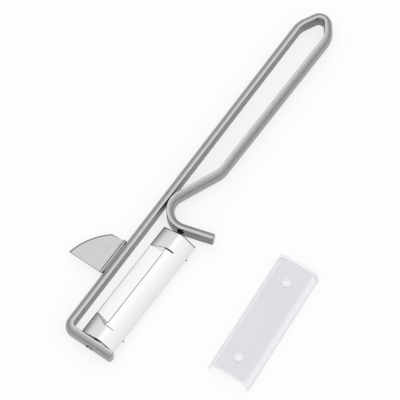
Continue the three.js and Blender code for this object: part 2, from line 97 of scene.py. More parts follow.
# %% Pieces from skins
def finish_piece(name, shape, place, sharp=40):
    """An object in the scene from a shape in millimetres, smooth except at edges sharper than an angle."""
    bmesh.ops.recalc_face_normals(shape, faces=shape.faces)
    bmesh.ops.transform(shape, matrix=Matrix.Scale(MM, 4) @ place, verts=shape.verts)
    mesh = bpy.data.meshes.new(name)
    shape.to_mesh(mesh)
    shape.free()
    mesh.shade_smooth()
    mesh.set_sharp_from_angle(angle=math.radians(sharp))
    piece = bpy.data.objects.new(name, mesh)
    scene.collection.objects.link(piece)
    return piece


def settle(piece, sharp):
    """Turns a piece's modifiers into its mesh, then marks its sharp edges."""
    solid = piece.evaluated_get(bpy.context.evaluated_depsgraph_get())
    mesh = bpy.data.meshes.new_from_object(solid)
    piece.modifiers.clear()
    piece.data = mesh
    mesh.shade_smooth()
    mesh.set_sharp_from_angle(angle=math.radians(sharp))


def cut_piece(piece, tools, operation="DIFFERENCE", sharp=40):
    """Cuts the tools out of a piece, or joins them to it, and takes them away."""
    for tool in tools:
        modifier = piece.modifiers.new(tool.name, "BOOLEAN")
        modifier.operation = operation
        modifier.solver = "EXACT"
        modifier.material_mode = "TRANSFER"
        modifier.object = tool
    settle(piece, sharp)
    for tool in tools:
        bpy.data.objects.remove(tool)


def turned(shape, profile, sides=48):
    """Skins a turned shape about the Y axis from a profile of radius and place along the axis."""
    rows = []
    for radius, y in profile:
        ring = arc(Vector((0, 0)), radius, 0, 360, sides)[:-1]
        rows.append([Vector((p.x, y, p.y)) for p in ring])
    skin(shape, rows, closed=True, capped=True)


# %% Colours and shader nodes
def srgb(code):
    """Linear colour from a hex code as it is seen on a screen."""
    channels = [int(code[i:i + 2], 16) / 255 for i in (1, 3, 5)]
    linear = [c / 12.92 if c <= 0.04045 else ((c + 0.055) / 1.055) ** 2.4 for c in channels]
    return (*linear, 1.0)


def feed(node, *first, **values):
    """Feeds a node's inputs, in order and then by name, with values or with outputs of other nodes."""
    fed = list(zip(node.inputs, first))
    for name, value in values.items():
        fed.append((node.inputs[name.replace("_", " ")], value))
    for socket, value in fed:
        if isinstance(value, bpy.types.NodeSocket):
            node.id_data.links.new(value, socket)
        else:
            socket.default_value = value
    return node


def add_node(tree, kind, *first, operation=None, **values):
    """A new shader node with its operation, if it has one, and with its inputs fed."""
    node = tree.nodes.new(kind)
    if operation:
        node.operation = operation
    return feed(node, *first, **values)


def grain(tree, space, size):
    """Noise whose marks have a size in millimetres along each axis of a texture space."""
    place = add_node(tree, "ShaderNodeTexCoord").outputs[space]
    per_metre = [1 / (length * MM) for length in size]
    stretch = add_node(tree, "ShaderNodeMapping", Vector=place, Scale=per_metre).outputs["Vector"]
    marks = add_node(tree, "ShaderNodeTexNoise", Vector=stretch, Scale=1.0, Detail=3.0, Roughness=0.6)
    return marks.outputs["Fac"]


def new_material(name):
    """A material with its node tree and its shader."""
    material = bpy.data.materials.new(name)
    material.use_nodes = True
    return material, material.node_tree, material.node_tree.nodes["Principled BSDF"]


def set_ramp(ramp, stops):
    """Gives a new colour ramp its stops, each a position and a hex code."""
    elements = ramp.color_ramp.elements
    while len(elements) < len(stops):
        elements.new(1.0)
    for element, (position, code) in zip(elements, stops):
        element.position = position
        element.color = srgb(code)


# %% [markdown]
# ## Metal finishes
#
# A worked metal surface is never even. Drawing, rolling and grinding leave fine lines, and the lines change
# the colour, the gloss and the relief in step. Three textures wouldn't line up, so one function drives all
# three from the same noise, and each metal only says how long and how wide its lines are, how bright it is
# and how rough. Real lines are a few hundredths of a millimetre wide. All of them are drawn coarser here, so
# that they still show in the picture.

# %% Metal from grain
MARKS_LOW, MARKS_HIGH = 0.35, 0.65  # range of the noise that most of its marks have


def metal(name, space, size, tones, roughness, relief):
    """A metal with grain marks of a size and a height in mm, between two tones and two roughnesses."""
    material, tree, shader = new_material(name)
    marks = grain(tree, space, size)
    tone = add_node(tree, "ShaderNodeValToRGB", Fac=marks)
    set_ramp(tone, list(zip((MARKS_LOW, MARKS_HIGH), tones)))
    gloss = add_node(tree, "ShaderNodeMapRange", marks, MARKS_LOW, MARKS_HIGH, *roughness)
    bump = add_node(tree, "ShaderNodeBump", Strength=1.0, Distance=relief * MM, Height=marks)
    feed(shader, Metallic=1.0, Base_Color=tone.outputs["Color"],
         Roughness=gloss.outputs["Result"], Normal=bump.outputs["Normal"])
    return material


# %% [markdown]
# ## The bar
#
# The handle is one length of half-round aluminium bar, drawn through a die and bent cold. Its flat face is
# inside most bends, so that the smooth round side lies in the hand. The route is a list of corners: the foot,
# the long leg, the hanging loop, the short leg, the knee and the finger hook. Each corner is rounded by its
# own bend. A curve object with a bevel shape could sweep the same section. Here the section is carried along
# the route ring by ring, because the cut ends have to be rounded off, and because the rings give a texture
# map along the bar.

# %% Sizes of the bar
BAR_WIDTH = 7.5
BAR_THICK = 3.6
BAR_LAND = 0.7  # square land between the flat face and the round side
BAR_EDGE = 0.35  # round of the two edges of the flat face
BAR_BURR = 0.5  # how far the cut ends are rounded off
CROWN_STEPS = 20
EDGE_STEPS = 4
bar_middle = BAR_WIDTH / 2
bar_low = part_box("handle_frame")[0]

# Places are counted from the flat face of the long leg and from the crown of the foot
datum = Matrix.Translation((bar_low.x / MM + BAR_THICK, bar_low.y / MM, 0))
print("Long leg at x =", round(datum.translation.x, 3), "mm")


# %% Route of the bar
BAR_LENGTH = 190
FOOT_REACH = 21.9
FOOT_BEND = 2.0
LOOP_RISE = 62  # headings and leans are in degrees, counted from X
LOOP_FALL = 126.5
LOOP_BEND = 9.0
APEX_X = 5.6
APEX_BEND = 2.2
SHORT_LEG_X = 9.8
SHORT_LEG_LEAN = 89
KNEE_BEND = 8.0
BAY_LENGTH = 61.6  # from the foot to the nearest point of the hook, where the blade lies
HOOK_X = 10.3
HOOK_LEAN = 66
HOOK_BEND = 9.9
ARM_LEAN = 16
HOOK_REACH = 26.6


def meet(point_a, along_a, point_b, along_b):
    """Where two lines in a plane cross."""
    share = (point_b - point_a).cross(along_b) / along_a.cross(along_b)
    return point_a + share * along_a


def bar_corners():
    """Corners of the flat face in plan with their bends, from the foot's cut end to the hook's."""
    up = heading(90)
    rise, fall = heading(LOOP_RISE), heading(LOOP_FALL)
    slant, level = heading(HOOK_LEAN), heading(ARM_LEAN)
    foot = Vector((0, BAR_THICK))
    hook_centre = Vector((HOOK_X, BAR_THICK + BAY_LENGTH + HOOK_BEND))
    oblique = hook_centre + HOOK_BEND * heading(HOOK_LEAN + 90)
    arm = hook_centre + HOOK_BEND * heading(ARM_LEAN - 90)
    knee = meet(oblique, slant, Vector((SHORT_LEG_X, 0)), up)
    apex = Vector((APEX_X, BAR_LENGTH - BAR_THICK - APEX_BEND))
    long_run = apex + APEX_BEND * heading(LOOP_RISE + 90)
    short_run = apex + APEX_BEND * heading(LOOP_FALL - 90)
    return [
        (Vector((FOOT_REACH, BAR_THICK)), 0),
        (foot, FOOT_BEND),
        (meet(foot, up, long_run, rise), LOOP_BEND),
        (meet(long_run, rise, short_run, fall), APEX_BEND),
        (meet(short_run, fall, knee, heading(SHORT_LEG_LEAN)), LOOP_BEND),
        (knee, KNEE_BEND),
        (meet(oblique, slant, arm, level), HOOK_BEND),
        (meet(arm, level, Vector((HOOK_REACH, 0)), up), 0),
    ]


def bent_path(corners, stride=4.0, turn_step=4.0):
    """Stations along straight runs and tangent bends: a point and the way ahead."""
    stations = []

    def add_run(start, end):
        steps = math.ceil((end - start).length / stride)
        stations.extend((start.lerp(end, i / steps), (end - start).normalized()) for i in range(steps + 1))

    last = corners[0][0]
    for (before, _), (at, bend), (after, _) in zip(corners, corners[1:], corners[2:]):
        back = (before - at).normalized()
        ahead = (after - at).normalized()
        half = back.angle(ahead) / 2
        centre = at + (back + ahead).normalized() * (bend / math.sin(half))
        start = at + back * (bend / math.tan(half))
        turn = math.copysign(math.pi - 2 * half, ahead.cross(back))
        add_run(last, start)
        steps = math.ceil(abs(math.degrees(turn)) / turn_step)
        for i in range(1, steps):
            turned_by = Matrix.Rotation(turn * i / steps, 2)
            stations.append((centre + turned_by @ (start - centre), turned_by @ -back))
        last = at + ahead * (bend / math.tan(half))
    add_run(last, corners[-1][0])
    return stations


route = bent_path(bar_corners())
cut_length = sum((b - a).length for (a, _), (b, _) in zip(route, route[1:]))
print("Length of the bar before bending:", round(cut_length), "mm")


# %% Skin of the bar
def bar_section():
    """Half-round section as depth behind the flat face and height, with rounded edges."""
    crown = [Vector((BAR_LAND + (BAR_THICK - BAR_LAND) * p.x, bar_middle * (1 + p.y)))
             for p in arc(Vector((0, 0)), 1, 90, -90, CROWN_STEPS)]
    top = arc(Vector((BAR_EDGE, BAR_WIDTH - BAR_EDGE)), BAR_EDGE, 180, 90, EDGE_STEPS)
    bottom = arc(Vector((BAR_EDGE, BAR_EDGE)), BAR_EDGE, 270, 180, EDGE_STEPS)
    return [Vector((0, bar_middle))] + top + crown + bottom


def bar_rings(stations):
    """The section carried along the route, drawn in a little at both cut ends."""
    section = bar_section()
    rings = []
    last = len(stations) - 1
    for i, (point, ahead) in enumerate(stations):
        outward = Vector((-ahead.y, ahead.x))
        end = -1 if i == 0 else 1 if i == last else 0
        places = [(point - end * BAR_BURR * ahead, 1.0)]
        if end:
            places.insert(0 if end < 0 else 1, (point, 1 - 2 * BAR_BURR / BAR_WIDTH))
        for place, scale in places:
            ring = []
            for depth, height in section:
                spot = place + outward * (BAR_THICK / 2 + (depth - BAR_THICK / 2) * scale)
                ring.append(Vector((*spot, bar_middle + (height - bar_middle) * scale)))
            rings.append(ring)
    return rings


def lay_grain(shape, rings):
    """Texture map in metres: along the bar, then round its section from the middle of the flat face."""
    section = bar_section()
    girth = [0.0]
    for a, b in zip(section, section[1:] + section[:1]):
        girth.append(girth[-1] + (b - a).length)
    across = [min(length, girth[-1] - length) * MM for length in girth[:-1]]
    along = [0.0]
    for a, b in zip(rings, rings[1:]):
        along.append(along[-1] + (b[0] - a[0]).length * MM)
    layer = shape.loops.layers.uv.new("grain")
    shape.verts.index_update()
    for face in shape.faces:
        for loop in face.loops:
            ring, spot = divmod(loop.vert.index, len(section))
            loop[layer].uv = (along[ring], across[spot])


shape = bmesh.new()
rings = bar_rings(route)
skin(shape, rings, closed=True, capped=True)
lay_grain(shape, rings)
bar = finish_piece("bent_bar", shape, datum)
print("Bar rings:", len(rings))

# %% [markdown]
# The round side of the drawn aluminium is a satin grey. The flat face is painted darker, as painted shade
# for the shaded card that it reflects. The two edges of the flat face are painted white, a painted highlight.
# A faint grain runs along the bar. Three materials would meet in hard borders, so one material has a colour
# ramp that follows the distance round the section.

# %% Satin aluminium
GIRTH_SPAN = 8  # mm of the section that the ramp covers, from the middle of the flat face
aluminium = metal("satin_drawn_aluminium", "UV", (2.5, 0.5, 1.0),
                  ("#BFBFC0", "#D3D3D4"), (0.32, 0.44), 0.006)
tree = aluminium.node_tree
shader = tree.nodes["Principled BSDF"]
base = shader.inputs["Base Color"].links[0].from_socket
round_bar = add_node(tree, "ShaderNodeTexCoord").outputs["UV"]
girth = add_node(tree, "ShaderNodeSeparateXYZ", Vector=round_bar)
reach = add_node(tree, "ShaderNodeMapRange", Value=girth.outputs["Y"], From_Max=GIRTH_SPAN * MM)
painted_light_ramp = add_node(tree, "ShaderNodeValToRGB", Fac=reach.outputs["Result"])
# The flat face is painted darker as painted shade, and its two edges white as a painted highlight.
painted_shade_and_highlight = ((3.2, "#A2A2A3"), (3.5, "#FFFFFF"), (4.3, "#FFFFFF"), (5.0, "#D4D4D5"))
set_ramp(painted_light_ramp, [(distance / GIRTH_SPAN, code) for distance, code in painted_shade_and_highlight])
tinted = add_node(tree, "ShaderNodeVectorMath", base, painted_light_ramp.outputs["Color"], operation="MULTIPLY")
feed(shader, Base_Color=tinted.outputs["Vector"])
bar.data.materials.append(aluminium)
print(aluminium.name, "has", len(tree.nodes), "nodes")

# %% [markdown]
# The foot and the hook arm are drilled for the pins of the blade, and the round side of the long leg has a
# slit for the tang of the eye remover. The holes are wide, so that the blade swings by its own weight. A
# Boolean modifier cuts as a drill does, and both holes lie on one axis, so one long cylinder makes the two.

# %% Holes and slit in the bar
HOLE_RADIUS = 1.65
HOLE_TOOL = 40  # half the length of the drill, which reaches through both holes
EYE_START = 30.6
EYE_ROOT = 17.3
EYE_SHEET = 1.0
SLIT_DEPTH = 4.6  # of the cutter, half of it outside the bar
SLIT_INSET = 2.4  # how much shorter the slit is than the fan's root
SLIT_PLAY = 0.6
pins = [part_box(name) for name in ("lower_pivot_pin", "upper_pivot_pin")]
pivot_low, pivot_high = [(low + high) / 2 / MM for low, high in pins]
pivot_axis = (pivot_high - pivot_low).normalized()
blade_low, blade_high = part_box("peeling_blade")
pivot_share = ((blade_low.y + blade_high.y) / 2 / MM - pivot_low.y) / pivot_axis.y

# The blade has its own frame: Y along the pivot axis, X away from the long leg
blade_turn = pivot_axis.to_track_quat("Y", "Z").to_matrix().to_4x4()
blade_place = Matrix.Translation(pivot_low + pivot_share * pivot_axis) @ blade_turn

# Inside the holes and the slit the metal is painted nearly black, as painted shade in the recess
hole_shade = metal("aluminium_hole_shade", "Object", (1.5, 0.3, 1.5), ("#1C1C1E", "#2A2A2C"), (0.5, 0.6), 0.01)
shape = bmesh.new()
turned(shape, [(HOLE_RADIUS, -HOLE_TOOL), (HOLE_RADIUS, HOLE_TOOL)])
hole = finish_piece("hole_tool", shape, blade_place)
hole.data.materials.append(hole_shade)
shape = bmesh.new()
bmesh.ops.create_cube(shape, size=1.0)
bmesh.ops.scale(shape, vec=(SLIT_DEPTH, EYE_ROOT - SLIT_INSET, EYE_SHEET + SLIT_PLAY), verts=shape.verts)
slit_place = Matrix.Translation((-BAR_THICK, EYE_START + EYE_ROOT / 2, bar_middle))
slit = finish_piece("slit_tool", shape, datum @ slit_place)
slit.data.materials.append(hole_shade)
cut_piece(bar, [hole, slit])
lean = math.degrees(pivot_axis.angle(Vector((0, 1, 0))))
print("Pivot axis leans", round(lean, 2), "degrees from the long leg")

# %% Bar in the frame
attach(bar, "frame")
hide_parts("handle_frame")
print("Bar faces:", len(bar.data.polygons))

# %% [markdown]
# ## The eye remover
#
# A fan of stainless sheet is ground to an edge along its curve. Its root is rolled into a bead that stiffens
# it, and a tang behind the bead sits in the bar's slit. The fan is skinned from three outlines, of which the
# upper one is drawn in for the bevel. A Bevel modifier would round the straight edges too.

# %% Fan, bead and tang
EYE_LOWER_EDGE = 18.0
EYE_UPPER_EDGE = 7.7
EYE_BULGE = 1.8
EYE_BEVEL = 1.0
EYE_KEEN = 0.15  # thickness left at the ground edge
EYE_BEAD = 0.9
EYE_BEAD_PAST = 0.7  # how far the bead runs past the fan
EYE_BEAD_EASE = 0.3
EYE_SEAT = 0.12  # clearance between bead and bar
TANG_DEPTH = 3.3
TANG_INSET = 3.0  # how much shorter the tang is than the fan's root
FAN_STEPS = 40
tip = Vector((-BAR_THICK - EYE_LOWER_EDGE, EYE_START))
corner = Vector((-BAR_THICK - EYE_UPPER_EDGE, EYE_START + EYE_ROOT))
chord = corner - tip
eye_radius = (chord.length_squared / 4 + EYE_BULGE ** 2) / (2 * EYE_BULGE)
inward = Vector((chord.y, -chord.x)).normalized()
eye_centre = (tip + corner) / 2 + inward * (eye_radius - EYE_BULGE)
bead_x = -BAR_THICK - EYE_SEAT - EYE_BEAD


def fan_outline(inset, height):
    """Outline of the fan at a height, its curved edge drawn in by an inset."""
    turns = [math.degrees(math.atan2(p.y - eye_centre.y, p.x - eye_centre.x)) % 360 for p in (corner, tip)]
    curve = arc(eye_centre, eye_radius - inset, *turns, FAN_STEPS)
    points = [Vector((bead_x, tip.y)), Vector((bead_x, corner.y))] + curve
    return [Vector((p.x, min(max(p.y, tip.y), corner.y), height)) for p in points]


under = bar_middle - EYE_SHEET / 2
shape = bmesh.new()
outlines = [fan_outline(0, under), fan_outline(0, under + EYE_KEEN),
            fan_outline(EYE_BEVEL, under + EYE_SHEET)]
skin(shape, outlines, closed=True, capped=True)
fan = finish_piece("eye_remover_blade", shape, datum, sharp=20)

bead_end = EYE_START + EYE_ROOT + EYE_BEAD_PAST
shape = bmesh.new()
turned(shape, [(EYE_BEAD - EYE_BEAD_EASE, EYE_START), (EYE_BEAD, EYE_START + EYE_BEAD_EASE),
               (EYE_BEAD, bead_end - EYE_BEAD_EASE), (EYE_BEAD - EYE_BEAD_EASE, bead_end)])
bead = finish_piece("eye_bead", shape, datum @ Matrix.Translation((bead_x, 0, bar_middle)))

shape = bmesh.new()
bmesh.ops.create_cube(shape, size=1.0)
bmesh.ops.scale(shape, vec=(TANG_DEPTH, EYE_ROOT - TANG_INSET, EYE_SHEET), verts=shape.verts)
tang_place = Matrix.Translation((bead_x + TANG_DEPTH / 2, EYE_START + EYE_ROOT / 2, bar_middle))
tang = finish_piece("eye_tang", shape, datum @ tang_place)
print("Radius of the ground edge:", round(eye_radius, 1), "mm")

# %% [markdown]
# The sheet is ground flat before it is cut, so short fine lines run across it, square to the bar. Its bevel,
# its cut edges and the sides of the bead are painted darker as painted shade, and a line along the bead,
# beside the bar, is a painted highlight. A mask could be painted, but which way a face looks already tells
# where the painted shade and the painted highlight go, and so it chooses the material.

# %% Ground stainless, painted shade and painted highlight
# Faces steeper than this level are painted shade.
GROUND_AND_SHADE_LEVEL = 0.96  # faces that lie flatter than this are ground
HIGHLIGHT_FROM, HIGHLIGHT_TO = 0.05, 0.55  # tilt of the bead's bright line towards the bar
eye_steel = metal("ground_stainless_and_highlight", "Object", (4.0, 0.35, 1.0),
                  ("#C3C3C4", "#CACACB"), (0.28, 0.36), 0.0015)
eye_shade = metal("stainless_painted_shade", "Object", (0.8, 0.8, 0.8), ("#8E8E90", "#99999B"), (0.35, 0.45), 0.003)
for piece in (fan, bead, tang):
    piece.data.materials.append(eye_steel)
    piece.data.materials.append(eye_shade)
    for face in piece.data.polygons:
        face.material_index = int(abs(face.normal.z) < GROUND_AND_SHADE_LEVEL)
# The bead is painted shade, except for a painted highlight on faces turned towards the bar.
for face in bead.data.polygons:
    highlighted = face.normal.z > 0 and HIGHLIGHT_FROM < face.normal.x < HIGHLIGHT_TO
    face.material_index = int(not highlighted)
cut_piece(fan, [bead, tang], "UNION", sharp=25)
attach(fan, "frame")
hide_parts("eye_remover")
print("Eye remover faces:", len(fan.data.polygons))

# %% [markdown]
# ## The peeling blade
#
# One piece of thin stainless sheet is lanced and pressed in a die. Across the blade it is a low roof. At both
# ends the sheet stays whole, as a tab whose rim is rolled down. Between the tabs it is slit along the ridge:
# the guide strip is pressed down on one side of the slit, and the lip on the other side carries the cutting
# edge. A solid roof could be carved with Booleans, but pressed sheet is equally thick all over. So the piece
# is drawn as a single skin of points, with the slot left open, and a Solidify modifier gives it thickness.

# %% Sizes of the blade
BLADE_LENGTH = 59.5
BLADE_SHEET = 0.6
EDGE_HEIGHT = 2.3  # of the heel edge above the card
RIDGE_X = 2.3  # from the pivot axis
RIDGE_ROUND = 3.2
GUIDE_WIDTH = 9.7
GUIDE_SLOPE = 24.5
HEEL_WIDTH = 7.1
HEEL_SLOPE = 34
RIM_ROLL = 0.7
RIM_TURN = 80  # degrees by which the rim is rolled down
RIM_FLAT = 0.3  # a short flat after the roll keeps the shading of the flank even
STRIP_ROLL = 0.6
STRIP_TURN = 35
END_ROLL = 0.5
TAB_SLOT = 1.1  # from the round of the ridge down to the line of the slot
FOOT_TAB = 7.1
FOOT_TAB_SKEW = 3.6  # how much longer the tab is at its rim
HOOK_TAB = 8.7
HOOK_TAB_SKEW = 1.6
GUIDE_RAMP = 2.2  # length of the step down to the strip, by the slot and then at the rim
GUIDE_NOTCH = 0.3
FOLD_WIDTH = 0.25  # dark line where the strip leaves a tab
PEEL_GAP = 2.2  # height of the cutting edge above the strip
SLOT_WIDTH = 0.85
LIP_WIDTH = 3.45
LIP_ROOT = 0.2
LIP_BEND = 4  # degrees by which the lip starts flatter than the heel
LIP_FALL = 12  # slope of the lip at its cutting edge
FOOT_SLIT = 0.3  # cut between tab and lip
HOOK_SLIT = 0.8
RIM_STEPS = 8
RIDGE_STEPS = 16
HEEL_STEPS = 8
FOOT_DARK = 3  # first row of the rolled end that is painted dark as painted shade
HOOK_DARK = 1
HEEL_BOW = 0.12  # swell of the heel across its slope
SLOT_TURN = 1.2  # how far the sheet is turned down along the slot
blade_end = BLADE_LENGTH / 2
print("Blade length:", BLADE_LENGTH, "mm")

# %% Lines across the blade
edge_z = EDGE_HEIGHT - bar_middle
heel_edge = Vector((RIDGE_X + HEEL_WIDTH, edge_z))
peak = Vector((RIDGE_X, edge_z + HEEL_WIDTH * math.tan(math.radians(HEEL_SLOPE))))
flanks = (heading(GUIDE_SLOPE) + heading(180 - HEEL_SLOPE)).normalized()
half_angle = math.radians(180 - GUIDE_SLOPE - HEEL_SLOPE) / 2
ridge_centre = peak - flanks * (RIDGE_ROUND / math.sin(half_angle))
ridge = arc(ridge_centre, RIDGE_ROUND, 90 + GUIDE_SLOPE, 90 - HEEL_SLOPE, RIDGE_STEPS)
tab_slot = ridge[0] - TAB_SLOT * heading(GUIDE_SLOPE)
lip_root = ridge[-1] + LIP_ROOT * heading(-HEEL_SLOPE)
lip_turns = (90 + LIP_FALL, 90 - HEEL_SLOPE + LIP_BEND)
lip_round = LIP_WIDTH / (heading(lip_turns[1]).x - heading(lip_turns[0]).x)
lip = arc(lip_root - lip_round * heading(lip_turns[1]), lip_round, *lip_turns, RIDGE_STEPS + 1)
heel_pull = (lip_root + heel_edge) / 2 + 2 * HEEL_BOW * heading(90 - HEEL_SLOPE)
heel = bow(lip_root, heel_pull, heel_edge, HEEL_STEPS)
rim_width = RIM_ROLL * (math.sin(math.radians(RIM_TURN)) - math.sin(math.radians(GUIDE_SLOPE)))
rim_top = peak - heading(GUIDE_SLOPE) * ((GUIDE_WIDTH - rim_width) / math.cos(math.radians(GUIDE_SLOPE)))


def guide_line(top, roll, turn):
    """Upper line of the sheet from the guide edge, over its rolled rim, up to a point by the slot."""
    slope = math.degrees(math.atan2(top.y - rim_top.y, top.x - rim_top.x))
    rim_centre = rim_top - roll * heading(90 + slope)
    rolled = arc(rim_centre, roll, 90 + turn, 90 + slope, RIM_STEPS)
    return rolled + [rim_top + RIM_FLAT * heading(slope), top]


strip_top = lip[0] - Vector((SLOT_WIDTH, PEEL_GAP))
tab_guide = guide_line(tab_slot, RIM_ROLL, RIM_TURN)
strip_guide = guide_line(strip_top, STRIP_ROLL, STRIP_TURN)
tab_line = tab_guide + ridge + heel
guide_count = len(tab_guide)
heel_from = len(tab_line) - len(heel)
print("Points across a tab:", len(tab_line))


# %% Skin of the sheet
def sunk(line, depth):
    """A line moved down, square to itself."""
    moved = []
    for i, point in enumerate(line):
        ahead = (line[min(i + 1, len(line) - 1)] - line[max(i - 1, 0)]).normalized()
        moved.append(point + depth * Vector((ahead.y, -ahead.x)))
    return moved


def lay(line, y):
    """Points of a line across the blade, at one place along it or at one place for each point."""
    places = y if isinstance(y, list) else [y] * len(line)
    return [Vector((p.x, at, p.y)) for p, at in zip(line, places)]


def end_rows(side):
    """Rows of the tab that turn down over the blade's end, from the level tab outwards."""
    rows = []
    for turn in arc(Vector((0, 0)), 1, 0, 90, RIM_STEPS):
        line = sunk(tab_line, END_ROLL * (1 - turn.x))
        rows.append(lay(line, side * (blade_end - END_ROLL * (1 - turn.y))))
    return rows


def turn_down(shape, edge, depth):
    """Turns the sheet down along a cut edge, painted dark as painted shade."""
    for a, b in zip(edge, edge[1:]):
        low = [shape.verts.new(v.co - Vector((0, 0, depth))) for v in (b, a)]
        shape.faces.new((a, b, *low)).material_index = 1


def half_blade(shape, side, tab, skew, slit, dark):
    """One tab with its rolled end, the ramp of the guide strip, and the open ends of strip, lip and heel."""
    tab_at = side * (blade_end - tab)
    edge_at = side * (blade_end - tab - skew)
    guide_at = [edge_at] * (guide_count - 1) + [tab_at]
    inner = lay(tab_line, guide_at + [tab_at] * (len(tab_line) - guide_count))
    grid, quads = skin(shape, [inner] + end_rows(side))
    # The rolled rim and the outer rows of the rolled end are painted dark as painted shade.
    for row in quads:
        for quad in row[:RIM_STEPS]:
            quad.material_index = 1
    for row in quads[dark:]:
        for quad in row:
            quad.material_index = 1
    ramp_at = [edge_at - side * GUIDE_NOTCH] * (guide_count - 1) + [tab_at - side * GUIDE_RAMP]
    strip = [shape.verts.new(p) for p in lay(strip_guide, ramp_at)]
    lip_row = [shape.verts.new(p) for p in lay(lip + heel[1:], tab_at - side * slit)]
    fold = []
    for a, b in zip(grid[0], strip):
        drop = b.co - a.co
        fold.append(shape.verts.new(a.co + drop.normalized() * min(FOLD_WIDTH, drop.length / 2)))
    # The fold between tab and strip is painted dark as painted shade.
    for low, high, finish in ((grid[0], fold, 1), (fold, strip, 0)):
        for (a, b), (d, c) in zip(zip(low, low[1:]), zip(high, high[1:])):
            shape.faces.new((a, b, c, d)).material_index = finish
    heels = (grid[0][heel_from:], lip_row[-len(heel):])
    for (a, b), (d, c) in zip(*[zip(row, row[1:]) for row in heels]):
        shape.faces.new((a, b, c, d))
    if side > 0:
        turn_down(shape, grid[0][guide_count - 1:heel_from + 1], 2 * SLOT_TURN)
    else:
        turn_down(shape, lip_row[:len(lip)], SLOT_TURN)
    return strip, lip_row


shape = bmesh.new()
ends = [half_blade(shape, -1, FOOT_TAB, FOOT_TAB_SKEW, FOOT_SLIT, FOOT_DARK),
        half_blade(shape, 1, HOOK_TAB, HOOK_TAB_SKEW, HOOK_SLIT, HOOK_DARK)]
for near, far in zip(*ends):
    for (a, b), (d, c) in zip(zip(near, near[1:]), zip(far, far[1:])):
        shape.faces.new((a, b, c, d))
turn_down(shape, [strip[-1] for strip, lip_row in ends], SLOT_TURN)
print("Faces of the bare sheet:", len(shape.faces))

# %% [markdown]
# A tongue at each end of the blade is bent down as an ear and holds a pin. Two small nubs on the heel edge
# stop the guard from sliding along the blade. They could be pieces of their own. As small islands in the
# same skin they get the thickness of the sheet by themselves.

# %% Ears and nubs
EAR_RADIUS = 2.4
EAR_BORE = 0.9
EAR_SETBACK = 0.15
EAR_TOUCH = 0.8  # how deep in the sheet the ear ends, as a share of its thickness
EAR_STEPS = 72
NUB_RADIUS = 0.5
NUB_INSET = 7.0
NUB_SINK = 0.1
NUB_STEPS = 24
roof_slope = math.tan(math.radians(GUIDE_SLOPE))
roof_rise = peak.y - peak.x * roof_slope - EAR_TOUCH * BLADE_SHEET
roof_top = ridge_centre.y + RIDGE_ROUND - EAR_TOUCH * BLADE_SHEET


def ear_reach(turn):
    """From the pivot axis to the edge of the ear: round below, straight sides, and the roof above."""
    way = heading(turn)
    if way.y <= 0:
        return EAR_RADIUS
    reach = [roof_top / way.y, EAR_RADIUS / max(abs(way.x), 1e-6)]
    if way.y > roof_slope * way.x:
        reach.append(roof_rise / (way.y - roof_slope * way.x))
    return min(reach)


for side in (-1, 1):
    ear_y = side * (blade_end - EAR_SETBACK)
    turns = [360 * i / EAR_STEPS for i in range(EAR_STEPS)]
    rows = [[EAR_BORE * heading(t) for t in turns], [ear_reach(t) * heading(t) for t in turns]]
    skin(shape, [lay(row, ear_y) for row in rows], closed=True)
    nub = arc(Vector((0, 0)), NUB_RADIUS, 0, 360, NUB_STEPS)[:-1]
    down_heel = heading(-HEEL_SLOPE)
    points = [heel_edge + p.x * down_heel - NUB_SINK * heading(90 - HEEL_SLOPE) for p in nub]
    rim = [Vector((q.x, side * (blade_end - NUB_INSET) + p.y, q.y)) for p, q in zip(nub, points)]
    shape.faces.new([shape.verts.new(point) for point in rim]).material_index = 1

blade = finish_piece("peeling_blade_sheet", shape, blade_place)
thickness = blade.modifiers.new("sheet", "SOLIDIFY")
thickness.thickness = BLADE_SHEET * MM
thickness.offset = -1
thickness.material_offset_rim = 1
print("Blade faces without thickness:", len(blade.data.polygons))

# %% [markdown]
# Stainless strip for blades is rolled bright between smooth rolls. It reflects like a blurred mirror, with
# very faint lines along the rolling direction and no colour of its own. Edges that the die has sheared or
# rolled over are rough and are painted dark as painted shade, which draws the thin lines round the tabs and
# along the slot. They are a second material on the same mesh, which the rim of the Solidify modifier takes
# as well.

# %% Bright stainless and painted shade
blade_steel = metal("bright_rolled_stainless", "Object", (0.5, 12.0, 1.0),
                    ("#EEEEEF", "#F3F3F4"), (0.29, 0.35), 0.0004)
# Painted shade for the rolled, sheared and turned-down edges of the sheet.
blade_shade = metal("stainless_blade_painted_shade", "Object", (0.3, 0.3, 1.0), ("#38383A", "#48484A"), (0.5, 0.6), 0.004)
blade.data.materials.append(blade_steel)
blade.data.materials.append(blade_shade)
settle(blade, sharp=13)
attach(blade, "blade")
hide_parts("peeling_blade")
print("Blade faces with thickness:", len(blade.data.polygons))
